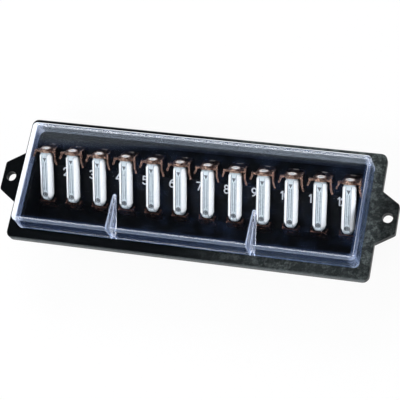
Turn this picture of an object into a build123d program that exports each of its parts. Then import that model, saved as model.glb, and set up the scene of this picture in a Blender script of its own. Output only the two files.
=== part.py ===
from build123d import *
from math import cos, hypot, radians, sin
import os

# Twelve-way fuse box. A black moulded base with two screw ears carries twelve torpedo
# fuses, each tilted with its far end up between two sheet-metal contact clips, under a
# clear cover that pulls straight off.
# Millimetres. +X runs along the row of fuses, +Y towards their upper ends, +Z out of the
# panel. The origin is the centre of the mounting face, the underside of the flange.

# Row of fuses
fuse_count = 12
fuse_pitch = 12.5
fuse_tilt = 40.0
fuse_centre_z = 3.3

# One torpedo fuse, 6 x 25 mm
fuse_diameter = 6.0
fuse_length = 25.0
cap_length = 2.3
cap_base_radius = 2.6
cap_shoulder_length = 0.8
cap_shoulder_radius = 2.2
cap_tip_radius = 0.9
body_end_radius = 2.4
body_taper_length = 1.0
groove_width = 2.6
groove_depth = 0.9
strip_width = 2.2
strip_thickness = 0.35
strip_hole_radius = 0.7
strip_hole_inset = 1.6
strip_notch_length = 1.5

# Contact clips, cut and folded from one sheet, with a push-on blade at the foot
sheet_thickness = 0.8
clip_bend_radius = 1.0
blade_width = 6.3
blade_length = 8.0
blade_chamfer = 1.2
rear_engagement = 1.3
rear_tongue_width = 6.8
rear_tongue_rise = 2.6
rear_corner_radius = 2.2
rear_boss_radius = 2.9
rear_boss_height = 0.7
rear_boss_slope = 0.6
rear_shoulder_height = 1.2
rear_cheek_rise = 1.6
long_cheek_overrun = 1.6
long_cheek_length = 3.0
long_flare_length = 2.9
long_cheek_height = 3.6
short_cheek_length = 0.8
short_flare_length = 2.2
short_cheek_height = 1.6
rear_flare_spread = 0.9
front_engagement = 0.15
front_plate_rise = 2.4
front_corner_radius = 1.2
front_cheek_length = 1.2
front_cheek_rise = 0.7
front_cheek_drop = 1.5
front_flare_length = 1.2
front_flare_spread = 0.5

# Base moulding
flange_thickness = 3.5
flange_margin_x = 4.6
flange_margin_y = 4.9
flange_corner_radius = 3.0
flange_edge_radius = 0.6
deck_thickness = 2.0
tub_wall = 2.0
tub_corner_radius = 1.5
skirt_draft = 1.5
lip_thickness = 1.3
lip_height = 2.5
rear_deck_drop = 8.45
front_deck_drop = 4.9
rear_foot_height = 2.0
rear_space = 3.5
front_space = 12.2
blade_recess = 0.5
ear_root_width = 24.0
ear_tip_width = 13.0
ear_length = 8.1
ear_corner_radius = 1.5
screw_hole_diameter = 4.5
screw_hole_inset = 4.0

# Clear cover
cover_wall = 1.4
cover_top_thickness = 1.35
cover_draft = 2.0
cover_corner_radius = 2.5
cover_edge_radius = 2.0
cover_inner_edge_radius = 0.6
flute_pitches_out = 2.5
flute_foot_width = 2.0
flute_top_width = 1.2
flute_wall = 0.7
flute_bottom_radius = 0.45
flute_reach = 16.6
flute_foot_height = 1.6

# Clearances
strip_clearance = 0.02
hole_clearance = 0.12
fuse_to_deck = 1.2
clip_to_clip = 0.7
clip_to_wall = 0.3
clip_to_lip = 0.3
cheek_clearance = 0.2
slot_clearance = 0.05
cover_clearance = 0.3
cover_seat_gap = 0.2
cover_head_room = 0.5
flute_clearance = 0.4

# Directions along a fuse and square to it, in the Y-Z plane
tilt_cos = cos(radians(fuse_tilt))
tilt_sin = sin(radians(fuse_tilt))
fuse_radius = fuse_diameter / 2
half_length = fuse_length / 2
half_sheet = sheet_thickness / 2

# Fuse stations along the fuse axis, measured from its centre
body_end = half_length - cap_length
taper_start = body_end - body_taper_length
cap_shoulder = body_end + cap_shoulder_length
cap_slope = (cap_shoulder_radius - cap_tip_radius) / (cap_length - cap_shoulder_length)
groove_floor = fuse_radius - groove_depth

# The rear clip stands square to the fuse, with the tip of its cap through a raised hole
rear_plate_mid = half_length - rear_engagement + half_sheet
rear_plate_out = rear_plate_mid + half_sheet
rear_cheek_end = rear_plate_mid + long_cheek_overrun
rear_half_width = (fuse_pitch - clip_to_clip) / 2 - rear_flare_spread

# The cheeks of the front clip stand beside the cap
front_half_width = cap_base_radius + cheek_clearance + sheet_thickness

# Heights of the decks, and how far each clip's foot lies from the fuse's centre along Y
rear_seat_y = rear_plate_mid * tilt_cos
rear_seat_z = fuse_centre_z + rear_plate_mid * tilt_sin
rear_deck_z = rear_seat_z - rear_deck_drop
rear_bend_z = rear_deck_z + rear_foot_height
rear_foot_y = rear_seat_y + (rear_seat_z - rear_bend_z) * tilt_sin / tilt_cos
front_tip_z = fuse_centre_z - half_length * tilt_sin
front_deck_z = front_tip_z - front_deck_drop
front_reach = half_length * tilt_cos + cap_tip_radius * tilt_sin
front_plate_in = -(front_reach - front_engagement)
front_plate_out = front_plate_in - sheet_thickness
front_hole_depth = front_engagement / (tilt_cos - cap_slope * tilt_sin)
front_hole_radius = cap_tip_radius + cap_slope * front_hole_depth + hole_clearance

# Across the box the rear clips, the front clips and the spaces beyond them set its width
tub_width = (rear_foot_y + half_sheet + rear_space) - (front_plate_out - front_space)
fuse_centre_y = tub_width / 2 - rear_space - half_sheet - rear_foot_y
tub_length = (fuse_count - 1) * fuse_pitch + 2 * (rear_half_width + clip_to_wall)

# The cover fits over the lip, and the flange runs out beyond the cover
lip_top_z = flange_thickness + lip_height
cover_in_length = tub_length + 2 * (lip_thickness + cover_clearance)
cover_in_width = tub_width + 2 * (lip_thickness + cover_clearance)
cover_length = cover_in_length + 2 * cover_wall
cover_width = cover_in_width + 2 * cover_wall
flange_length = cover_length + 2 * flange_margin_x
flange_width = cover_width + 2 * flange_margin_y
cover_foot_z = flange_thickness + cover_seat_gap
tongue_top_z = rear_seat_z + rear_tongue_rise * tilt_cos + half_sheet * tilt_sin
cheek_top_z = fuse_centre_z + rear_cheek_end * tilt_sin + rear_cheek_rise * tilt_cos
boss_station = rear_plate_out + rear_boss_height - rear_boss_slope
boss_top_z = fuse_centre_z + boss_station * tilt_sin + rear_boss_radius * tilt_cos
cover_in_top_z = max(tongue_top_z, boss_top_z, cheek_top_z) + cover_head_room
cover_top_z = cover_in_top_z + cover_top_thickness
skirt_bottom_z = front_deck_z - deck_thickness - blade_length - blade_recess

# Deck profile: the sloping deck runs parallel to the fuses
slope_rise = tilt_sin / tilt_cos
slope_at_centre = fuse_centre_z - (fuse_radius + fuse_to_deck) / tilt_cos
slope_under = slope_at_centre - deck_thickness / tilt_cos
slope_top_y = fuse_centre_y + (rear_deck_z - slope_at_centre) / slope_rise
slope_foot_y = fuse_centre_y + (front_deck_z - slope_at_centre) / slope_rise
under_top_y = fuse_centre_y + (rear_deck_z - deck_thickness - slope_under) / slope_rise
under_foot_y = fuse_centre_y + (front_deck_z - deck_thickness - slope_under) / slope_rise

# Flutes: grooves down the near edge of the cover, each over one fuse
flute_x = flute_pitches_out * fuse_pitch
flute_foot_z = cover_foot_z + flute_foot_height
flute_rise = cover_top_z - flute_foot_z
flute_slant = hypot(flute_rise, flute_reach)
flute_cos = flute_reach / flute_slant
flute_sin = flute_rise / flute_slant

fuse_places = [(i - (fuse_count - 1) / 2) * fuse_pitch for i in range(fuse_count)]


def fuse_side_plane(x):
    """Plane through one fuse's axis: its x runs up the fuse, its y square to it."""
    return Plane(origin=(x, fuse_centre_y, fuse_centre_z), x_dir=(0, tilt_cos, tilt_sin), z_dir=(1, 0, 0))


def fuse_top_plane(x, rise):
    """Plane that lies along one fuse, rise above its axis: its x runs up the fuse."""
    side = fuse_side_plane(x)
    return Plane(origin=side.from_local_coords((0, rise, 0)), x_dir=side.x_dir, z_dir=side.y_dir)


def fuse_end_plane(x, station):
    """Plane square across one fuse, station along its axis from the centre."""
    side = fuse_side_plane(x)
    return Plane(origin=side.from_local_coords((station, 0, 0)), x_dir=(1, 0, 0), z_dir=side.x_dir)


def flute_plane(x, depth):
    """Plane along the floor of a flute, depth below it, its x running up the flute."""
    middle_y = -cover_width / 2 + flute_reach / 2 + depth * flute_sin
    middle_z = flute_foot_z + flute_rise / 2 - depth * flute_cos
    return Plane(
        origin=(x, middle_y, middle_z), x_dir=(0, flute_cos, flute_sin), z_dir=(0, -flute_sin, flute_cos)
    )


def flute_cutter(x, wall):
    """Solid that fills a flute, with a wall round it: wider at its foot, round at its ends and floor."""
    foot_radius = flute_foot_width / 2 + wall
    top_radius = flute_top_width / 2 + wall
    half_run = flute_slant / 2 + wall
    with BuildPart() as cutter:
        with BuildSketch(flute_plane(x, wall)):
            with Locations((foot_radius - half_run, 0)):
                Circle(foot_radius)
            with Locations((half_run - top_radius, 0)):
                Circle(top_radius)
            make_hull()
        extrude(amount=cover_top_z)
        floor_edges = cutter.faces().sort_by(Axis(cutter.part.center(), flute_plane(x, 0).z_dir))[0].edges()
        fillet(floor_edges, radius=flute_bottom_radius + wall)
    return cutter.part


def save(part, name):
    """Label one finished piece and write it to its own file."""
    part.label = name
    export_step(part, f"parts/{name}.step")


os.makedirs("parts", exist_ok=True)

# Base: flange with ears, drafted skirt, stepped decks and the lip that locates the cover
with BuildPart() as base:
    with BuildSketch(Plane.XY):
        RectangleRounded(flange_length, flange_width, flange_corner_radius)
        for end in (-1, 1):
            root_x = end * (flange_length / 2 - ear_corner_radius)
            tip_x = end * (flange_length / 2 + ear_length)
            with BuildLine():
                FilletPolyline(
                    (root_x, -ear_root_width / 2 - ear_corner_radius / 2),
                    (tip_x, -ear_tip_width / 2),
                    (tip_x, ear_tip_width / 2),
                    (root_x, ear_root_width / 2 + ear_corner_radius / 2),
                    radius=ear_corner_radius,
                )
                Line(
                    (root_x, ear_root_width / 2 + ear_corner_radius / 2),
                    (root_x, -ear_root_width / 2 - ear_corner_radius / 2),
                )
            make_face()
    extrude(amount=flange_thickness)
    fillet(base.faces().sort_by(Axis.Z)[-1].outer_wire().edges(), radius=flange_edge_radius)
    with BuildSketch(Plane.XY):
        RectangleRounded(tub_length + 2 * tub_wall, tub_width + 2 * tub_wall, tub_corner_radius + tub_wall)
    extrude(amount=skirt_bottom_z, taper=skirt_draft)
    with BuildSketch(Plane.XY.offset(flange_thickness)):
        RectangleRounded(
            tub_length + 2 * lip_thickness, tub_width + 2 * lip_thickness, tub_corner_radius + lip_thickness
        )
    extrude(amount=lip_height)
    # Space above the decks
    with BuildSketch(Plane.YZ.offset(-tub_length / 2)):
        with BuildLine():
            Polyline(
                (-tub_width / 2, lip_top_z),
                (-tub_width / 2, front_deck_z),
                (slope_foot_y, front_deck_z),
                (slope_top_y, rear_deck_z),
                (tub_width / 2, rear_deck_z),
                (tub_width / 2, lip_top_z),
                close=True,
            )
        make_face()
    extrude(amount=tub_length, mode=Mode.SUBTRACT)
    # Space under the decks, open below for the wiring
    with BuildSketch(Plane.YZ.offset(-tub_length / 2)):
        with BuildLine():
            Polyline(
                (-tub_width / 2, skirt_bottom_z),
                (-tub_width / 2, front_deck_z - deck_thickness),
                (under_foot_y, front_deck_z - deck_thickness),
                (under_top_y, rear_deck_z - deck_thickness),
                (tub_width / 2, rear_deck_z - deck_thickness),
                (tub_width / 2, skirt_bottom_z),
                close=True,
            )
        make_face()
    extrude(amount=tub_length, mode=Mode.SUBTRACT)
    # Slots for the blades of the clips
    slot_size = (blade_width + 2 * slot_clearance, sheet_thickness + 2 * slot_clearance)
    with BuildSketch(Plane.XY.offset(rear_deck_z)):
        with Locations([(x, fuse_centre_y + rear_foot_y) for x in fuse_places]):
            Rectangle(*slot_size)
    extrude(amount=-deck_thickness, mode=Mode.SUBTRACT)
    with BuildSketch(Plane.XY.offset(front_deck_z)):
        with Locations([(x, fuse_centre_y + front_plate_out + half_sheet) for x in fuse_places]):
            Rectangle(*slot_size)
    extrude(amount=-deck_thickness, mode=Mode.SUBTRACT)
    # Notches in the lip under the flutes of the cover
    notch_width = flute_foot_width + 2 * (flute_wall + flute_clearance)
    with BuildSketch(Plane.XY.offset(flange_thickness)):
        with Locations([(side * flute_x, -tub_width / 2 - lip_thickness / 2) for side in (-1, 1)]):
            Rectangle(notch_width, 2 * lip_thickness)
    extrude(amount=lip_height, mode=Mode.SUBTRACT)
    # Screw holes in the ears
    with BuildSketch(Plane.XY):
        with Locations([(side * (flange_length / 2 + screw_hole_inset), 0) for side in (-1, 1)]):
            Circle(screw_hole_diameter / 2)
    extrude(amount=flange_thickness, mode=Mode.SUBTRACT)
save(base.part, "base")

# Cover: a drafted clear shell with rounded edges and two flutes down its near side
with BuildPart() as core:
    with BuildSketch(Plane.XY.offset(cover_foot_z)):
        RectangleRounded(cover_in_length, cover_in_width, cover_corner_radius - cover_wall)
    extrude(amount=cover_in_top_z - cover_foot_z, taper=cover_draft)
    fillet(core.faces().sort_by(Axis.Z)[-1].edges(), radius=cover_inner_edge_radius)
    for side in (-1, 1):
        add(flute_cutter(side * flute_x, flute_wall), mode=Mode.SUBTRACT)

with BuildPart() as cover:
    with BuildSketch(Plane.XY.offset(cover_foot_z)):
        RectangleRounded(cover_length, cover_width, cover_corner_radius)
    extrude(amount=cover_top_z - cover_foot_z, taper=cover_draft)
    fillet(cover.faces().sort_by(Axis.Z)[-1].edges(), radius=cover_edge_radius)
    for side in (-1, 1):
        add(flute_cutter(side * flute_x, 0), mode=Mode.SUBTRACT)
    add(core.part, mode=Mode.SUBTRACT)
save(cover.part, "cover")

for number, x in enumerate(fuse_places, start=1):
    side = fuse_side_plane(x)
    fuse_axis = Axis(side.origin, side.x_dir)

    # Ceramic body with a groove along its upper side
    with BuildPart() as fuse_body:
        with BuildSketch(side):
            with BuildLine():
                Polyline(
                    (-body_end, 0),
                    (-body_end, body_end_radius),
                    (-taper_start, fuse_radius),
                    (taper_start, fuse_radius),
                    (body_end, body_end_radius),
                    (body_end, 0),
                    close=True,
                )
            make_face()
        revolve(axis=fuse_axis)
        with BuildSketch(fuse_top_plane(x, groove_floor)):
            Rectangle(fuse_length, groove_width)
        extrude(amount=groove_depth, mode=Mode.SUBTRACT)
    save(fuse_body.part, f"fuse_body_{number:02d}")

    # Metal strip in the groove, joined to a cap on each end of the body
    with BuildPart() as fuse_strip:
        for end in (-1, 1):
            with BuildSketch(side):
                with BuildLine():
                    Polyline(
                        (end * body_end, 0),
                        (end * half_length, 0),
                        (end * half_length, cap_tip_radius),
                        (end * cap_shoulder, cap_shoulder_radius),
                        (end * body_end, cap_base_radius),
                        close=True,
                    )
                make_face()
            revolve(axis=fuse_axis)
        with BuildSketch(fuse_top_plane(x, groove_floor + strip_clearance)):
            Rectangle(2 * (body_end + strip_thickness), strip_width)
            with Locations((-(body_end - strip_hole_inset), 0)):
                Circle(strip_hole_radius, mode=Mode.SUBTRACT)
            notch_x = body_end - strip_hole_inset
            with BuildLine():
                Polyline(
                    (notch_x, -strip_hole_radius),
                    (notch_x, strip_hole_radius),
                    (notch_x - strip_notch_length, 0),
                    close=True,
                )
            make_face(mode=Mode.SUBTRACT)
        extrude(amount=strip_thickness)
    save(fuse_strip.part, f"fuse_strip_{number:02d}")

    # Cheeks of the rear clip, long on the +X side, cut off level above the lip of the base
    with BuildPart() as cheeks:
        for cheek, cheek_start, cheek_length, flare_length, cheek_height in (
            (1, rear_cheek_end, long_cheek_length, long_flare_length, long_cheek_height),
            (-1, rear_plate_mid, short_cheek_length, short_flare_length, short_cheek_height),
        ):
            cheek_y = -cheek * (rear_half_width - half_sheet)
            straight_end = rear_plate_mid - cheek_length
            with BuildSketch(fuse_top_plane(x, rear_cheek_rise)):
                with BuildLine():
                    Polyline(
                        (cheek_start, cheek_y),
                        (straight_end, cheek_y),
                        (straight_end - flare_length, cheek_y - cheek * rear_flare_spread),
                    )
                trace(line_width=sheet_thickness)
            extrude(amount=-cheek_height)
        split(bisect_by=Plane.XY.offset(lip_top_z + clip_to_lip), keep=Keep.TOP)

    # Rear clip: blade and foot upright, then a tongue square to the fuse between its two cheeks
    with BuildPart() as rear_clip:
        foot_y = fuse_centre_y + rear_foot_y
        tongue_top = side.from_local_coords((rear_plate_mid, rear_tongue_rise, 0))
        with BuildSketch(Plane.YZ.offset(x)):
            with BuildLine():
                FilletPolyline(
                    (foot_y, rear_deck_z),
                    (foot_y, rear_bend_z),
                    (tongue_top.Y, tongue_top.Z),
                    radius=clip_bend_radius,
                )
            trace(line_width=sheet_thickness)
        extrude(amount=rear_tongue_width / 2, both=True)
        fillet(rear_clip.edges().filter_by(fuse_axis), radius=rear_corner_radius)
        with BuildSketch(Plane.XY.offset(rear_deck_z)):
            with Locations((x, foot_y)):
                Rectangle(blade_width, sheet_thickness)
        extrude(amount=-(deck_thickness + blade_length))
        chamfer(rear_clip.edges().filter_by(Axis.Y).group_by(Axis.Z)[0], length=blade_chamfer)
        # Shoulders of the tongue, which carry the cheeks
        with BuildSketch(side):
            with Locations((rear_plate_mid, rear_cheek_rise)):
                Rectangle(sheet_thickness, rear_shoulder_height, align=(Align.CENTER, Align.MAX))
        extrude(amount=rear_half_width, both=True)
        add(cheeks.part)
        # Raised ring round the hole, and room for the cap in it
        with BuildSketch(side):
            with BuildLine():
                Polyline(
                    (rear_plate_mid, 0),
                    (rear_plate_mid, rear_boss_radius),
                    (boss_station, rear_boss_radius),
                    (boss_station + rear_boss_slope, rear_boss_radius - rear_boss_slope),
                    (boss_station + rear_boss_slope, 0),
                    close=True,
                )
            make_face()
        revolve(axis=fuse_axis)
        with BuildSketch(side):
            with BuildLine():
                Polyline(
                    (body_end, 0),
                    (body_end, cap_base_radius + hole_clearance),
                    (cap_shoulder, cap_shoulder_radius + hole_clearance),
                    (half_length, cap_tip_radius + hole_clearance),
                    (half_length + cap_length, cap_tip_radius + hole_clearance),
                    (half_length + cap_length, 0),
                    close=True,
                )
            make_face()
        revolve(axis=fuse_axis, mode=Mode.SUBTRACT)
    save(rear_clip.part, f"rear_clip_{number:02d}")

    # Front clip: one upright plate with two short flared cheeks, and its blade
    with BuildPart() as front_clip:
        plate_y = fuse_centre_y + front_plate_out + half_sheet
        plate_top_z = front_tip_z + front_plate_rise
        plate_plane = Plane(
            origin=(x, plate_y + half_sheet, front_deck_z), x_dir=(1, 0, 0), z_dir=(0, -1, 0)
        )
        with BuildSketch(plate_plane) as plate_sketch:
            Rectangle(2 * front_half_width, plate_top_z - front_deck_z, align=(Align.CENTER, Align.MIN))
            fillet(plate_sketch.vertices().group_by(Axis.Y)[-1], radius=front_corner_radius)
        extrude(amount=sheet_thickness)
        with BuildSketch(Plane.XY.offset(front_deck_z)):
            with Locations((x, plate_y)):
                Rectangle(blade_width, sheet_thickness)
        extrude(amount=-(deck_thickness + blade_length))
        chamfer(front_clip.edges().filter_by(Axis.Y).group_by(Axis.Z)[0], length=blade_chamfer)
        for cheek in (-1, 1):
            with BuildSketch(Plane.XY.offset(front_tip_z - front_cheek_drop)):
                cheek_x = x + cheek * (front_half_width - half_sheet)
                straight_end = plate_y + front_cheek_length
                with BuildLine():
                    Polyline(
                        (cheek_x, plate_y),
                        (cheek_x, straight_end),
                        (cheek_x + cheek * front_flare_spread, straight_end + front_flare_length),
                    )
                trace(line_width=sheet_thickness)
            extrude(amount=front_cheek_drop + front_cheek_rise)
        with BuildSketch(fuse_end_plane(x, -body_end)):
            Circle(front_hole_radius)
        extrude(amount=-(cap_length + 3 * sheet_thickness), mode=Mode.SUBTRACT)
    save(front_clip.part, f"front_clip_{number:02d}")
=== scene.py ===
"""Looks of the twelve-way fuse box: finishes, printed numbers, studio and camera.

The scene is in metres, in the frame of the solids: +X along the row of fuses, +Y towards
their upper ends, +Z out of the panel, with the origin on the underside of the flange.
The finishes work in millimetres.
"""
from math import cos, pi, radians, sin

import bpy
import numpy as np
from mathutils import Matrix, Vector


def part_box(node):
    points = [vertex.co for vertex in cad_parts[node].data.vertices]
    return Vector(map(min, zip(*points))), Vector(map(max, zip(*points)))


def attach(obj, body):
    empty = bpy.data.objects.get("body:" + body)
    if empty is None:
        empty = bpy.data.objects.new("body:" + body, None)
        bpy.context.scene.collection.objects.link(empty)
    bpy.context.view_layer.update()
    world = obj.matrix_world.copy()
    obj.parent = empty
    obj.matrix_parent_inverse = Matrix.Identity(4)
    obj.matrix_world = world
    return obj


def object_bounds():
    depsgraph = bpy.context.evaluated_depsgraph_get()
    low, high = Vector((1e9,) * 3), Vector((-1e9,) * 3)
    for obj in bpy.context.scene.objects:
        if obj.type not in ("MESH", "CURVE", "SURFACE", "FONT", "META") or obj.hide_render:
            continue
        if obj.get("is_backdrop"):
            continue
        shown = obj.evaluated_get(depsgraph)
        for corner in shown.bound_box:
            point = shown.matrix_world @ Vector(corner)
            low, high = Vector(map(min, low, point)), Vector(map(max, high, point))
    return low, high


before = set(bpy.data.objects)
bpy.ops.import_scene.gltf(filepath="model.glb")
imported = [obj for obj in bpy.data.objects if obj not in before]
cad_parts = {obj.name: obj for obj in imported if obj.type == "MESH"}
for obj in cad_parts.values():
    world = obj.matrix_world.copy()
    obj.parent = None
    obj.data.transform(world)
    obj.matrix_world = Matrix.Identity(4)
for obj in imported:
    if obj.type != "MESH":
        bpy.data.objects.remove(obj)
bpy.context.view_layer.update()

MM = 0.001


def millimetre_box(node):
    """Lowest and highest corner of one solid, in millimetres, rounded to 0.01."""
    low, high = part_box(node)
    return [round(v / MM, 2) for v in low], [round(v / MM, 2) for v in high]


# Row of fuses, as in the solids, in millimetres
fuse_count = 12
fuse_tilt = radians(40)
fuse_pitch = 12.5
fuse_middle_y = 2.403
fuse_middle_z = 3.3
groove_floor = 2.1
groove_half_width = 1.3
slope_middle_z = -2.183

# Strips, measured from the middle of the fuse, in millimetres
strip_top = 2.47
rib_half_length = 6.5
rib_width = 0.9
rib_rise = 0.14
rib_line_offset = 0.52
hole_place = -8.6
hole_rim_radius = 0.90
hole_rim_width = 0.34
hole_rim_rise = 0.10
hole_line_radius = 0.92
notch_tip = 6.95
notch_length = 1.9
notch_flare = 0.46

# Clips, measured from the middle of the fuse, in millimetres
clip_ring_face = 12.7
clip_ring_radius = 2.9
tongue_top = 2.6
cheek_top = 1.6

# Folded foot of the rear clips, measured in the frame, in millimetres
clip_foot_y = 16.7
clip_bend_z = 4.3

# Outer faces of the cover, the lip and the flange, in millimetres
cover_low, cover_high = millimetre_box("cover")
_, base_high = millimetre_box("base")
cover_half_length = cover_high[0]
cover_half_width = cover_high[1]
cover_top = cover_high[2]
cover_foot = cover_low[2]
cover_face_to_lip = 1.7
lip_half_length = cover_half_length - cover_face_to_lip
lip_half_width = cover_half_width - cover_face_to_lip
lip_top = 6.0
flange_half_width = base_high[1]
ear_root = 81.6

# Flutes down the near wall of the cover, in millimetres
flute_middle = 2.5 * fuse_pitch
flute_length = 16.6
flute_foot_half_width = 1.0
flute_top_half_width = 0.6

# Numbers on the sloping deck. Only a 1 stands before another digit
number_height = 3.6 * MM
number_stroke = 0.60 * MM
number_rise = 0.10 * MM
number_gap = 0.65 * MM
number_one_width = 0.36 * number_height
number_left = 6.1 * MM
number_up_slope = 4.3 * MM
deck_half_length = 74.0 * MM

# Beads that numbers, ribs and rims are made of
bead_sink = 0.02 * MM
bead_profile_points = 10
bead_end_rings = 4
bead_tip_share = 0.02
arc_points = 18
ring_points = 32
run_points = 7

# Floor of the studio
floor_size = 5.0
floor_gap = 0.05 * MM

# Camera, fitted to the fuses, the edges and the screw holes
camera_azimuth = radians(41.611)
camera_elevation = radians(66.348)
camera_roll = radians(-32.745)
camera_distance = 634.2 * MM
camera_right = 2.41 * MM
camera_up = -0.50 * MM
camera_lens = 130.26
camera_sensor = 36.0


# Shader maths
class Value:
    """One socket of a material. Arithmetic on it adds Math nodes."""

    def __init__(self, finish, socket):
        self.finish = finish
        self.socket = socket

    def maths(self, operation, *others):
        return self.finish.node("ShaderNodeMath", {"operation": operation}, [self, *others])

    def __add__(self, other):
        return self.maths("ADD", other)

    def __sub__(self, other):
        return self.maths("SUBTRACT", other)

    def __mul__(self, other):
        return self.maths("MULTIPLY", other)

    def __truediv__(self, other):
        return self.maths("DIVIDE", other)

    def __pow__(self, other):
        return self.maths("POWER", other)

    def __rsub__(self, other):
        return self.finish.node("ShaderNodeMath", {"operation": "SUBTRACT"}, [other, self])

    __radd__ = __add__
    __rmul__ = __mul__

    def __abs__(self):
        return self.maths("ABSOLUTE")

    def at_least(self, other):
        return self.maths("MAXIMUM", other)

    def at_most(self, other):
        return self.maths("MINIMUM", other)


class Finish:
    """A material or world being put together, one node at a time."""

    def __init__(self, tree):
        self.tree = tree
        tree.nodes.clear()

    def node(self, kind, settings=(), sockets=(), output=0):
        """Adds one node: first its settings, then values or links of its sockets, by place or by name."""
        node = self.tree.nodes.new(kind)
        for name, value in dict(settings).items():
            setattr(node, name, value)
        pairs = sockets.items() if isinstance(sockets, dict) else enumerate(sockets)
        for name, value in pairs:
            if isinstance(value, Value):
                self.tree.links.new(value.socket, node.inputs[name])
            else:
                node.inputs[name].default_value = value
        return Value(self, node.outputs[output])

    def end(self, kind, sockets):
        """The output node, which has no output of its own."""
        node = self.tree.nodes.new(kind)
        for name, value in sockets.items():
            self.tree.links.new(value.socket, node.inputs[name])

    def place(self, scale=(1, 1, 1)):
        """Place on the object, in millimetres times scale."""
        where = self.node("ShaderNodeTexCoord", output="Object")
        return self.node("ShaderNodeMapping", {}, {"Vector": where, "Scale": [s / MM for s in scale]})

    def turned_place(self, turn, scale):
        """Place on the object along axes that are turned, in millimetres times scale."""
        where = self.node("ShaderNodeTexCoord", output="Object")
        return self.node("ShaderNodeMapping", {"vector_type": "TEXTURE"},
                         {"Vector": where, "Rotation": turn, "Scale": [MM / s for s in scale]})

    def axes(self, where):
        """The three numbers of a place."""
        return [self.node("ShaderNodeSeparateXYZ", {}, [where], output=axis) for axis in "XYZ"]

    def noise(self, where, size, detail, rough):
        """Smooth noise from 0 to 1 with lumps about size millimetres across."""
        return self.node("ShaderNodeTexNoise", {"noise_dimensions": "3D"},
                         {"Vector": where, "Scale": 1 / size, "Detail": detail, "Roughness": rough})

    def between(self, value, low, high):
        """0 at low and before it, 1 at high and past it, smooth in between. Low may be the greater."""
        return self.node("ShaderNodeMapRange", {"interpolation_type": "SMOOTHSTEP"},
                         [value, low, high, 0.0, 1.0])

    def blend(self, share, first, second):
        """First colour where share is 0, second where it is 1."""
        return self.node("ShaderNodeMix", {"data_type": "RGBA"}, {0: share, 6: first, 7: second}, output=2)

    def bump(self, height, distance, strength):
        """Normal of a surface in relief, where a height of 1 stands for distance in metres."""
        return self.node("ShaderNodeBump", {},
                         {"Strength": strength, "Distance": distance, "Height": height})

    def mix(self, share, first, second):
        """First shader where share is 0, second where it is 1."""
        return self.node("ShaderNodeMixShader", {}, [share, first, second])


def new_material(name):
    material = bpy.data.materials.new(name)
    material.use_nodes = True
    return material, Finish(material.node_tree)


def close(finish, sockets):
    """Ends a finish in one Principled shader."""
    shader = finish.node("ShaderNodeBsdfPrincipled", {}, sockets)
    finish.end("ShaderNodeOutputMaterial", {"Surface": shader})


# Finishes
def black_moulding():
    """Satin black plastic, clean under the cover.

    Round the cover it has dust and scuff marks mixed with a painted sheen, lighter towards +X, and less
    again on the +X ear and on the near side. A painted grey highlight runs along the long edges of the
    flange.
    """
    clean_black = (0.0010, 0.0016, 0.0022, 1)
    dust_and_sheen_grey = (0.150, 0.175, 0.170, 1)
    edge_highlight_grey = (0.100, 0.115, 0.120, 1)
    material, f = new_material("black_moulding")
    where = f.place()
    x, y, z = f.axes(where)
    past_lip = (abs(x) - lip_half_length).at_least(abs(y) - lip_half_width)
    outside = f.between(past_lip, -0.6, 0.6)
    above_panel = f.between(z, -0.8, -0.1)
    ear = f.between(x - ear_root, -2.0, 3.0)
    near = f.between(y, -lip_half_width, -cover_half_width)
    # Painted sheen, mixed with real dust and scuff marks round the cover: lighter towards +X, less on the
    # +X ear and on the near side
    rightward = f.between(x, -10.0, 48.0) * (1 - 0.65 * ear)
    dust_and_sheen_share = (0.85 - 0.35 * near) * outside * above_panel * rightward
    scuff_and_sheen_blotches = f.between(f.noise(where, size=2.6, detail=5.0, rough=0.75), 0.44, 0.64)
    dust = f.between(f.noise(where, size=0.7, detail=3.0, rough=0.7), 0.38, 0.70)
    dust_and_sheen = dust_and_sheen_share * (0.25 + 0.75 * scuff_and_sheen_blotches) * (0.45 + 0.55 * dust)
    # Painted grey highlight along the long edges of the flange
    flange_edge = f.between(flange_half_width - abs(y), 0.7, 0.1) * f.between(z, -0.5, 0.5)
    edge_highlight = flange_edge * (0.55 + 0.45 * dust)
    grain = f.noise(where, size=0.28, detail=2.0, rough=0.6)
    sheen = f.noise(where, size=3.5, detail=3.0, rough=0.55)
    dusty_and_sheened = f.blend(dust_and_sheen, clean_black, dust_and_sheen_grey)
    close(f, {
        "Base Color": f.blend(edge_highlight, dusty_and_sheened, edge_highlight_grey),
        "Roughness": 0.26 + 0.12 * sheen + 0.22 * dust_and_sheen,
        "Specular IOR Level": 0.06,
        "Normal": f.bump(grain, distance=0.05 * MM, strength=0.5),
    })
    return material


def flute_haze(f, x, y, z):
    """How hazy the flutes are, and where their outline is.

    A flute narrows evenly from its foot to its top, where its outline ends in half a circle. It has a thin
    haze, and a painted highlight along its outline, most of all at its brim and at its lower end.
    """
    beside = abs(abs(x) - flute_middle)
    along = (y + cover_half_width) / flute_length
    half_width = flute_foot_half_width + (flute_top_half_width - flute_foot_half_width) * along
    inside = f.between(beside - half_width, 0.5, 0.3) * f.between(along, 1.08, 1.02)
    past_round = (along - 1 + flute_top_half_width / flute_length).at_least(0.0) * flute_length
    from_middle = (beside ** 2.0 + past_round ** 2.0) ** 0.5
    # Painted highlight along the outline of the flute
    outline = inside * f.between(abs(from_middle - half_width), 0.32, 0.12)
    brim = f.between(z - cover_top, -1.3, -0.6)
    lower_end = f.between(z - cover_foot, 4.5, 1.5)
    haze = (0.012 + 0.02 * f.between(along, 0.5, 0.0)) * inside
    outline_highlight = (0.13 + 0.32 * brim + 0.20 * lower_end) * outline
    return haze + outline_highlight, outline


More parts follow.
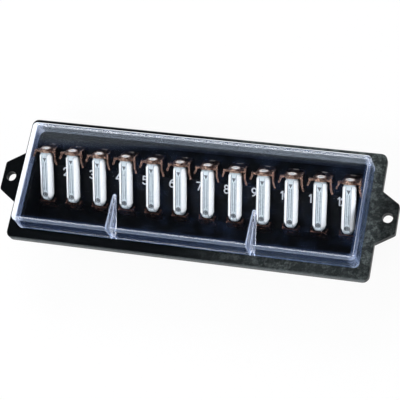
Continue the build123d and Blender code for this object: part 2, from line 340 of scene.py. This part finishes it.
def clear_moulding():
    """Clear plastic: glass, with a haze that paints in the light that runs inside it.

    The haze paints a pale glow in the rounded rim, most of all at the -X end and along the far side. It
    paints blue light on the walls, with more painted highlight in the corners and beside the lip at the -X
    end and the far side, and deep blue painted shade along the foot. The top has a thin film, smudged
    towards +X, and a grey band along its far side that is wider towards -X. Lamps shine through it.
    """
    glass_tint = (0.96, 0.97, 1.0, 1)
    shadow_tint = (0.97, 0.98, 1.0, 1)
    # Painted light and shade in the haze: blue and grey light on the walls, deep blue shade at their foot,
    # a grey and a white glow in the rim, and pale highlight lines
    painted_blue_wall_light = (0.20, 0.35, 0.80, 1)
    painted_grey_wall_light = (0.42, 0.48, 0.55, 1)
    painted_foot_shade = (0.085, 0.125, 0.21, 1)
    painted_dull_rim_light = (0.22, 0.27, 0.32, 1)
    painted_white_rim_light = (0.95, 0.97, 1.0, 1)
    painted_highlight_line = (0.70, 0.80, 1.0, 1)
    material, f = new_material("clear_moulding")
    where = f.place()
    x, y, z = f.axes(where)
    smudge = f.between(f.noise(where, size=6.0, detail=4.0, rough=0.6), 0.45, 0.75)
    waves = f.noise(where, size=14.0, detail=1.0, rough=0.4)
    streaks = f.noise(f.place((0.12, 0.12, 1.0)), size=1.6, detail=3.0, rough=0.6)
    facing = f.node("ShaderNodeLayerWeight", {}, {"Blend": 0.5}, output="Facing")

    # How far in from the outer faces
    from_left = x + cover_half_length
    from_right = cover_half_length - x
    from_near = y + cover_half_width
    from_far = cover_half_width - y
    from_end = from_left.at_most(from_right)
    from_side = from_near.at_most(from_far)
    from_face = from_end.at_most(from_side)

    # Parts of the cover
    left = f.between(from_left, 3.2, 2.6)
    right = f.between(from_right, 4.0, 1.5)
    near = f.between(from_near, 4.0, 1.5)
    far = f.between(from_far, 4.0, 1.5)
    # Painted highlight: pale streaks in the corners
    corner = f.between(from_end.at_least(from_side), 5.0, 2.2) * (0.3 + streaks)
    # Painted shade along the foot of the walls
    foot = f.between(z - cover_foot, 0.9, 0.45)
    # Painted highlight beside the lip, at the -X end and along the far side
    beside_lip = f.between(z - lip_top, 1.8, 0.6) * left.at_least(0.5 * far)
    near_edge = f.between(from_face, 1.9, 1.2) * (1 - far)
    far_edge = f.between(from_far, 1.25, 0.85)
    # Painted glow in the rounded rim, white at the -X end and along the far side, grey elsewhere
    rim = near_edge.at_least(far_edge).at_least(left) * f.between(z - cover_top, -2.6, -1.4)
    wall = f.between(from_face, 2.9, 2.2) * (1 - rim)
    leftward = f.between(x, 0.0, -60.0)
    band_width = 8.0 + 5.0 * leftward
    far_band = f.between(from_far / band_width, 1.0, 0.55) * f.between(from_end, 3.0, 6.0)

    # How thick the haze is
    film = 0.0005 + 0.010 * smudge * f.between(x, -70.0, 0.0)
    band_film = (0.024 + 0.008 * leftward) * far_band * (0.6 + 0.8 * streaks)
    rim_level = 0.28 + 0.60 * left.at_least(0.95 * far) - 0.22 * right + 0.15 * corner
    end_level = 0.03 * right * (0.4 + streaks) + 0.13 * left * (0.5 + streaks)
    side_level = 0.014 * near + 0.10 * far * (0.5 + streaks)
    foot_level = foot * (0.28 + 0.3 * streaks)
    wall_level = 0.010 + end_level + side_level + foot_level + 0.14 * beside_lip + 0.10 * corner
    flute_level, flute_outline = flute_haze(f, x, y, z)
    haze_level = film + band_film + rim * rim_level * (0.75 + 0.4 * streaks) + wall * wall_level
    edge_on = f.between(facing, 0.35, 0.9)
    film_and_painted_light = (haze_level + (1 - rim) * flute_level + 0.01 * edge_on).at_most(0.95)

    # Its colour
    pale = (rim + flute_outline + 0.7 * corner).at_most(1.0)
    greyer = far.at_least(far_band).at_least(0.6 * left)
    wall_colour = f.blend(foot, f.blend(greyer, painted_blue_wall_light, painted_grey_wall_light), painted_foot_shade)
    rim_colour = f.blend(left.at_least(far), painted_dull_rim_light, painted_white_rim_light)
    lit_colour = f.blend(flute_outline.at_least(0.7 * corner), rim_colour, painted_highlight_line)

    glass = f.node("ShaderNodeBsdfPrincipled", {}, {
        "Base Color": glass_tint,
        "Roughness": 0.01 + 0.03 * smudge,
        "Transmission Weight": 1.0,
        "IOR": 1.49,
        "Normal": f.bump(waves, distance=0.2 * MM, strength=0.3),
    })
    haze = f.node("ShaderNodeBsdfPrincipled", {}, {
        "Base Color": f.blend(pale, wall_colour, lit_colour),
        "Roughness": 0.5,
        "Specular IOR Level": 0.2,
    })
    see_through = f.node("ShaderNodeBsdfTransparent", {}, {"Color": shadow_tint})
    lamp_ray = f.node("ShaderNodeLightPath", output="Is Shadow Ray")
    surface = f.mix(lamp_ray, f.mix(film_and_painted_light, glass, haze), see_through)
    f.end("ShaderNodeOutputMaterial", {"Surface": surface})
    return material


def fuse_axes(f, where):
    """Place on the nearest fuse in millimetres: across it, along it, and out of the side with the strip."""
    x, y, z = f.axes(where)
    across = (x - fuse_pitch / 2).maths("WRAP", fuse_pitch / 2, -fuse_pitch / 2)
    run = y - fuse_middle_y
    rise = z - fuse_middle_z
    along = run * cos(fuse_tilt) + rise * sin(fuse_tilt)
    out = rise * cos(fuse_tilt) - run * sin(fuse_tilt)
    return across, along, out


def glazed_ceramic():
    """White glazed ceramic with faint cream clouds. Painted shade darkens the groove that holds the strip.
    """
    cool_white = (0.84, 0.87, 0.88, 1)
    cream = (0.90, 0.90, 0.87, 1)
    painted_groove_shade = (0.045, 0.055, 0.065, 1)
    material, f = new_material("glazed_ceramic")
    where = f.place()
    across, _, out = fuse_axes(f, where)
    clouds = f.noise(where, size=4.0, detail=3.0, rough=0.5)
    ripple = f.noise(where, size=1.2, detail=2.0, rough=0.5)
    in_groove = f.between(abs(across) - groove_half_width, 0.05, 0.01)
    # Painted shade in the groove under the strip
    groove = in_groove * f.between(out - groove_floor, -0.15, -0.05)
    glaze = f.blend(clouds, cool_white, cream)
    close(f, {
        "Base Color": f.blend(groove * (0.80 + 0.20 * ripple), glaze, painted_groove_shade),
        "Roughness": 0.16 + 0.14 * clouds,
        "Coat Weight": 0.5,
        "Coat Roughness": 0.06,
        "Normal": f.bump(ripple, distance=0.06 * MM, strength=0.3),
    })
    return material


def tinned_strip():
    """Dull grey metal, drawn along the fuse and spotted.

    Painted shade darkens the edges of the pressed rib, the rim of the hole and the notch at the upper end.
    """
    tin_grey = (0.48, 0.54, 0.56, 1)
    spot_grey = (0.32, 0.37, 0.40, 1)
    painted_shade_black = (0.022, 0.028, 0.034, 1)
    material, f = new_material("tinned_strip")
    where = f.place()
    across, along, _ = fuse_axes(f, where)
    streaks = f.noise(f.turned_place((fuse_tilt, 0, 0), (1.0, 0.08, 1.0)), size=0.35, detail=3.0, rough=0.6)
    spots = f.between(f.noise(where, size=1.1, detail=3.0, rough=0.6), 0.50, 0.72)
    rib_run = f.between(abs(along) - rib_half_length, 0.4, 0.0)
    rib_edge = f.between(abs(abs(across) - rib_line_offset), 0.20, 0.06) * rib_run
    from_hole = ((along - hole_place) ** 2.0 + across ** 2.0) ** 0.5
    hole_rim = f.between(abs(from_hole - hole_line_radius), 0.26, 0.10)
    up_notch = along - notch_tip
    in_notch = f.between(abs(across) - notch_flare * up_notch, 0.08, 0.0)
    notch = in_notch * f.between(up_notch - notch_length, 0.0, -0.2)
    # Painted shade on the rib edges, the hole rim and the notch
    painted_shade_share = (0.75 * rib_edge + 0.85 * hole_rim + 0.9 * notch).at_most(1.0)
    plain = f.blend(spots, tin_grey, spot_grey)
    close(f, {
        "Base Color": f.blend(painted_shade_share, plain, painted_shade_black),
        "Metallic": 0.45,
        "Roughness": 0.34 + 0.22 * streaks + 0.10 * spots,
        "Normal": f.bump(streaks, distance=0.03 * MM, strength=0.5),
    })
    return material


def clip_copper():
    """Copper alloy sheet, brown in blotches of oxide and, as painted shade, on the cheeks and the front
    clips.

    Painted shade makes it nearly black at its folded foot, and painted highlights light up the upper edges
    of tongue and cheeks. A pale painted highlight lies on the face of its ring and on a spot on the foot.
    """
    copper = (0.23, 0.145, 0.108, 1)
    tarnish_and_shade_brown = (0.080, 0.040, 0.031, 1)
    painted_foot_shade_brown = (0.035, 0.018, 0.014, 1)
    edge_highlight_copper = (0.32, 0.215, 0.16, 1)
    pale_highlight = (0.80, 0.73, 0.67, 1)
    material, f = new_material("clip_copper")
    where = f.place()
    _, y, z = f.axes(where)
    across, along, out = fuse_axes(f, where)
    blotches = f.between(f.noise(where, size=3.0, detail=4.0, rough=0.6), 0.30, 0.62)
    spots = f.between(f.noise(where, size=1.4, detail=3.0, rough=0.6), 0.35, 0.65)
    brushed = f.noise(f.place((0.2, 1.0, 1.0)), size=0.25, detail=2.0, rough=0.5)
    # Painted highlights along the upper edges of the tongue and the cheeks
    tongue_edge = f.between(out - tongue_top, -0.45, -0.1)
    cheek_edge = f.between(abs(across), 3.6, 3.9) * f.between(out - cheek_top, -0.35, -0.05)
    edge_highlight = tongue_edge.at_least(0.25 * cheek_edge) * f.between(z, 5.0, 6.0) * (0.30 + 0.70 * spots)
    # Pale painted highlight on the face of the ring
    from_axis = (across ** 2.0 + out ** 2.0) ** 0.5
    within_ring = f.between(from_axis - clip_ring_radius, -0.5, -1.8)
    ring_face = within_ring * f.between(along - clip_ring_face, -0.5, -0.2)
    to_foot = y - clip_foot_y
    # Painted shade, nearly black, on the folded foot
    foot = f.between(to_foot, -3.2, -2.4)
    # Pale painted highlight on a spot of the folded foot
    foot_middle = f.between(to_foot, -0.7, -0.3) * f.between(abs(across), 1.5, 1.0)
    foot_spot = foot_middle * f.between(z - clip_bend_z, -0.5, 0.0)
    pale_highlight_share = (ring_face.at_least(0.40 * foot_spot) * (0.75 + 0.4 * spots)).at_most(1.0)
    # Painted shade in the brown of the oxide blotches, on the cheeks and the front clips
    cheek = f.between(abs(across), 3.7, 4.1)
    front = f.between(y, 0.0, -3.0)
    tarnish_and_shade = blotches.at_least(foot).at_least(0.75 * cheek).at_least(0.9 * front)
    sheet = f.blend(foot, f.blend(tarnish_and_shade, copper, tarnish_and_shade_brown), painted_foot_shade_brown)
    close(f, {
        "Base Color": f.blend(pale_highlight_share, f.blend(edge_highlight, sheet, edge_highlight_copper), pale_highlight),
        "Metallic": 1.0 - 0.85 * pale_highlight_share.at_least(0.30 * edge_highlight),
        "Roughness": 0.18 + 0.10 * brushed + 0.12 * blotches,
        "Normal": f.bump(brushed, distance=0.03 * MM, strength=0.4),
    })
    return material


def white_print():
    """White paint on the deck, thin in places."""
    paint_white = (0.62, 0.64, 0.67, 1)
    thin_grey = (0.38, 0.40, 0.42, 1)
    material, f = new_material("white_print")
    thin = f.between(f.noise(f.place(), size=0.5, detail=3.0, rough=0.6), 0.66, 0.82)
    close(f, {
        "Base Color": f.blend(thin, paint_white, thin_grey),
        "Roughness": 0.45 + 0.2 * thin,
    })
    return material


# Surfaces
def grid_faces(rows, columns, wrap_rows):
    """Quads of a grid of points, closed along its columns, and along its rows if wrap_rows."""
    row = np.arange(rows if wrap_rows else rows - 1)[:, None]
    column = np.arange(columns)[None, :]
    this_row = row * columns
    next_row = (row + 1) % rows * columns
    beside = (column + 1) % columns
    corners = [this_row + column, this_row + beside, next_row + beside, next_row + column]
    return np.stack(np.broadcast_arrays(*corners), -1).reshape(-1, 4)


def bead(path, closed, width, rise):
    """A raised bead along a flat path.

    Its cross-section is a half ellipse, half the width each way and rise high, on a flat foot.
    Point (s, a) lies at path(s) + side(s) * half width * cos(a), at height rise * sin(a). An open
    end is rounded: rings beyond it shrink as the cosine of an angle while they move out as its sine.
    """
    half = width / 2
    if closed:
        forward = np.roll(path, -1, 0) - np.roll(path, 1, 0)
    else:
        forward = np.gradient(path, axis=0)
    forward /= np.linalg.norm(forward, axis=1, keepdims=True)
    size = np.ones(len(path))
    if not closed:
        angle = np.linspace(0, pi / 2, bead_end_rings + 1)[1:]
        shrink = np.maximum(np.cos(angle), bead_tip_share)
        start = path[:1] - forward[:1] * (half * np.sin(angle))[::-1, None]
        end = path[-1:] + forward[-1:] * (half * np.sin(angle))[:, None]
        path = np.concatenate([start, path, end])
        before = np.repeat(forward[:1], bead_end_rings, 0)
        after = np.repeat(forward[-1:], bead_end_rings, 0)
        forward = np.concatenate([before, forward, after])
        size = np.concatenate([shrink[::-1], size, shrink])
    side = np.stack([forward[:, 1], -forward[:, 0]], 1)
    angle = np.linspace(0, pi, bead_profile_points)
    across = np.concatenate([np.cos(angle), [-1, 1]]) * half
    up = np.concatenate([np.sin(angle) * rise, [-bead_sink, -bead_sink]])
    flat = path[:, None, :] + side[:, None, :] * (across[None, :, None] * size[:, None, None])
    height = np.broadcast_to(up[None, :], flat.shape[:2]) * np.where(up > 0, size[:, None], 1.0)
    points = np.concatenate([flat, height[..., None]], -1)
    rows, columns = height.shape
    faces = grid_faces(rows, columns, closed).tolist()
    if not closed:
        last = (rows - 1) * columns
        faces.append(list(range(columns))[::-1])
        faces.append(list(range(last, last + columns)))
    return points.reshape(-1, 3), faces


def arc(middle, radius, start, end, points=arc_points):
    """Points of an ellipse's arc, from one angle in degrees to another."""
    angle = np.radians(np.linspace(start, end, points))
    return np.array(middle) + np.array(radius) * np.stack([np.cos(angle), np.sin(angle)], 1)


def ring(middle, radius):
    """Points round a whole ellipse, the first one at its top and none of them twice."""
    return arc(middle, radius, 90, 450, ring_points + 1)[:-1]


def line(*corners):
    """Points along straight runs between corners, close together."""
    corners = np.array(corners, float)
    steps = np.linspace(0, 1, run_points)[:, None]
    runs = [a + (b - a) * steps for a, b in zip(corners[:-1], corners[1:])]
    return np.concatenate([runs[0]] + [run[1:] for run in runs[1:]])


def digit_strokes(digit):
    """Paths of one digit, as (points, closed), in a cell 0.6 wide and 1 high."""
    two_bow = arc((0.29, 0.70), (0.28, 0.30), 170, -35)
    two_stem = line((0.46, 0.46), (0.02, 0.0))
    return {
        "0": [(ring((0.30, 0.50), (0.28, 0.50)), True)],
        "1": [(line((0.34, 0.0), (0.34, 1.0)), False),
              (line((0.34, 1.0), (0.14, 0.80)), False)],
        "2": [(np.concatenate([two_bow, two_stem]), False),
              (line((0.02, 0.0), (0.60, 0.0)), False)],
        "3": [(arc((0.27, 0.75), (0.25, 0.25), 150, -90), False),
              (arc((0.27, 0.26), (0.29, 0.26), 90, -150), False)],
        "4": [(line((0.44, 0.0), (0.44, 1.0)), False),
              (line((0.44, 1.0), (0.0, 0.30)), False),
              (line((0.0, 0.30), (0.62, 0.30)), False)],
        "5": [(line((0.54, 1.0), (0.10, 1.0)), False),
              (line((0.10, 1.0), (0.06, 0.54)), False),
              (arc((0.27, 0.31), (0.30, 0.31), 132, -150), False)],
        "6": [(ring((0.30, 0.30), (0.27, 0.30)), True),
              (arc((0.62, 0.34), (0.59, 0.66), 180, 104, 14), False)],
        "7": [(line((0.02, 1.0), (0.58, 1.0)), False),
              (line((0.58, 1.0), (0.20, 0.0)), False)],
        "8": [(ring((0.30, 0.76), (0.22, 0.24)), True),
              (ring((0.30, 0.26), (0.28, 0.26)), True)],
        "9": [(ring((0.30, 0.70), (0.27, 0.30)), True),
              (arc((-0.02, 0.66), (0.59, 0.66), 0, -76, 14), False)],
    }[digit]


def beads_on_slope(foot, beads):
    """Beads laid out flat, put on a plane that is tilted as the fuses are, with their zero at foot.

    A point (x, y, z) of a bead lies at foot + x along the row + y up the slope + z out of the slope.
    """
    along_row = np.array([1.0, 0, 0])
    up_slope = np.array([0, cos(fuse_tilt), sin(fuse_tilt)])
    outward = np.array([0, -sin(fuse_tilt), cos(fuse_tilt)])
    points, faces, count = [], [], 0
    for flat, bead_faces in beads:
        faces += [[count + i for i in face] for face in bead_faces]
        count += len(flat)
        points.append(foot + flat[:, :1] * along_row + flat[:, 1:2] * up_slope + flat[:, 2:] * outward)
    return np.concatenate(points), faces


def mesh_piece(name, points, faces, material, body):
    """One piece from points and faces that are already where they belong."""
    mesh = bpy.data.meshes.new(name)
    mesh.from_pydata(points.tolist(), [], faces)
    mesh.validate()
    mesh.update()
    mesh.polygons.foreach_set("use_smooth", [True] * len(mesh.polygons))
    mesh.materials.append(material)
    piece = bpy.data.objects.new(name, mesh)
    bpy.context.scene.collection.objects.link(piece)
    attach(piece, body)


def fuse_middle_x(number):
    """Where the middle of one fuse is along the row, in metres."""
    low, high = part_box(f"fuse_body_{number:02d}")
    return (low.x + high.x) / 2


def fuse_number(number, material):
    """The number beside one fuse, lying on the sloping deck with its foot down the slope.

    Its middle is number_up_slope above the middle of the deck, measured along the slope.
    """
    beads = []
    for place, digit in enumerate(str(number)):
        shift = np.array([place * (number_one_width + number_gap), 0])
        for path, closed in digit_strokes(digit):
            beads.append(bead(path * number_height + shift, closed, number_stroke, number_rise))
    foot_up_slope = number_up_slope - number_height / 2
    foot = np.array([max(fuse_middle_x(number) - number_left, -deck_half_length),
                     fuse_middle_y * MM + foot_up_slope * cos(fuse_tilt),
                     slope_middle_z * MM + foot_up_slope * sin(fuse_tilt)])
    points, faces = beads_on_slope(foot, beads)
    mesh_piece(f"number_{number:02d}", points, faces, material, "base_body")


def strip_relief(number, material):
    """The pressed rib down the middle of one strip, and the raised rim of its hole."""
    half = rib_half_length - rib_width / 2
    rib = bead(line((0.0, -half), (0.0, half)) * MM, False, rib_width * MM, rib_rise * MM)
    rim = bead(ring((0.0, hole_place), (hole_rim_radius, hole_rim_radius)) * MM, True,
               hole_rim_width * MM, hole_rim_rise * MM)
    foot = np.array([fuse_middle_x(number),
                     (fuse_middle_y - strip_top * sin(fuse_tilt)) * MM,
                     (fuse_middle_z + strip_top * cos(fuse_tilt)) * MM])
    points, faces = beads_on_slope(foot, [rib, rim])
    mesh_piece(f"strip_relief_{number:02d}", points, faces, material, "base_body")


# Studio
def studio_floor():
    """A pale floor that takes the object's shadow, and looks nearly white, in reflections too."""
    low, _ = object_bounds()
    half = floor_size / 2
    z = low.z - floor_gap
    corners = [(-half, -half, z), (half, -half, z), (half, half, z), (-half, half, z)]
    mesh = bpy.data.meshes.new("studio_floor")
    mesh.from_pydata(corners, [], [(0, 1, 2, 3)])
    floor = bpy.data.objects.new("studio_floor", mesh)
    bpy.context.scene.collection.objects.link(floor)
    material, f = new_material("studio_floor")
    to_eye = f.node("ShaderNodeLightPath", output="Is Camera Ray")
    reflected = f.node("ShaderNodeLightPath", output="Is Glossy Ray")
    through = f.node("ShaderNodeLightPath", output="Is Transmission Ray")
    seen = to_eye.at_least(reflected).at_least(through)
    matt = f.node("ShaderNodeBsdfDiffuse", {}, {"Color": (0.86, 0.87, 0.88, 1)})
    white = f.node("ShaderNodeEmission", {}, {"Color": (1, 1, 1, 1), "Strength": 1.0})
    f.end("ShaderNodeOutputMaterial", {"Surface": f.mix(seen * 0.93, matt, white)})
    mesh.materials.append(material)
    floor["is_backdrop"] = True


def studio_world():
    """White to the eye; as a light it is bright near the horizon and dim overhead."""
    world = bpy.data.worlds.new("studio_world")
    bpy.context.scene.world = world
    world.use_nodes = True
    f = Finish(world.node_tree)
    direction = f.node("ShaderNodeTexCoord", output="Generated")
    height = f.node("ShaderNodeSeparateXYZ", {}, [direction], output="Z").at_least(0.0)
    level = 0.02 + 0.95 * (1 - height) ** 3.0
    to_eye = f.node("ShaderNodeLightPath", output="Is Camera Ray")
    light = f.node("ShaderNodeBackground", {}, {"Color": (0.93, 0.96, 1.0, 1), "Strength": level})
    white = f.node("ShaderNodeBackground", {}, {"Color": (1, 1, 1, 1), "Strength": 1.0})
    f.end("ShaderNodeOutputWorld", {"Surface": f.mix(to_eye, light, white)})


def soft_light(name, place, size, power):
    """A rectangular soft light that points at the origin."""
    lamp = bpy.data.lights.new(name, "AREA")
    lamp.shape = "RECTANGLE"
    lamp.size, lamp.size_y = size
    lamp.energy = power
    light = bpy.data.objects.new(name, lamp)
    light.location = place
    light.rotation_mode = "QUATERNION"
    light.rotation_quaternion = (-Vector(place)).to_track_quat("-Z", "Y")
    light.visible_camera = False
    bpy.context.scene.collection.objects.link(light)


def studio_camera():
    """The camera that the photograph's edges give."""
    outward = cos(camera_elevation)
    back = Vector((sin(camera_azimuth) * outward, -cos(camera_azimuth) * outward, sin(camera_elevation)))
    level_right = Vector((cos(camera_azimuth), sin(camera_azimuth), 0))
    level_up = back.cross(level_right)
    right = cos(camera_roll) * level_right + sin(camera_roll) * level_up
    up = -sin(camera_roll) * level_right + cos(camera_roll) * level_up
    place = back * camera_distance + right * camera_right + up * camera_up
    data = bpy.data.cameras.new("photo_camera")
    data.lens = camera_lens
    data.sensor_width = camera_sensor
    data.clip_start = 0.01
    data.clip_end = 20.0
    camera = bpy.data.objects.new("photo_camera", data)
    camera.matrix_world = Matrix((
        (right.x, up.x, back.x, place.x),
        (right.y, up.y, back.y, place.y),
        (right.z, up.z, back.z, place.z),
        (0, 0, 0, 1),
    ))
    bpy.context.scene.collection.objects.link(camera)
    bpy.context.scene.camera = camera


# The object
finishes = {
    "base": black_moulding(),
    "cover": clear_moulding(),
    "fuse_body": glazed_ceramic(),
    "fuse_strip": tinned_strip(),
    "rear_clip": clip_copper(),
}
finishes["front_clip"] = finishes["rear_clip"]
for name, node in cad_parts.items():
    kind = name.rstrip("0123456789").rstrip("_")
    node.data.materials.clear()
    node.data.materials.append(finishes[kind])

print_white = white_print()
for number in range(1, fuse_count + 1):
    fuse_number(number, print_white)
    strip_relief(number, finishes["fuse_strip"])

studio_floor()
studio_world()
soft_light("far_soft_light", place=(-0.35, 0.95, 0.75), size=(0.9, 0.5), power=11.0)
soft_light("left_soft_light", place=(-1.0, 0.1, 0.55), size=(0.5, 0.7), power=5.5)
soft_light("front_soft_light", place=(-0.25, -0.75, 0.85), size=(0.7, 0.5), power=7.8)
soft_light("right_soft_light", place=(1.0, -0.25, 0.45), size=(0.5, 0.5), power=5.0)
studio_camera()

bpy.context.scene.view_settings.view_transform = "Standard"
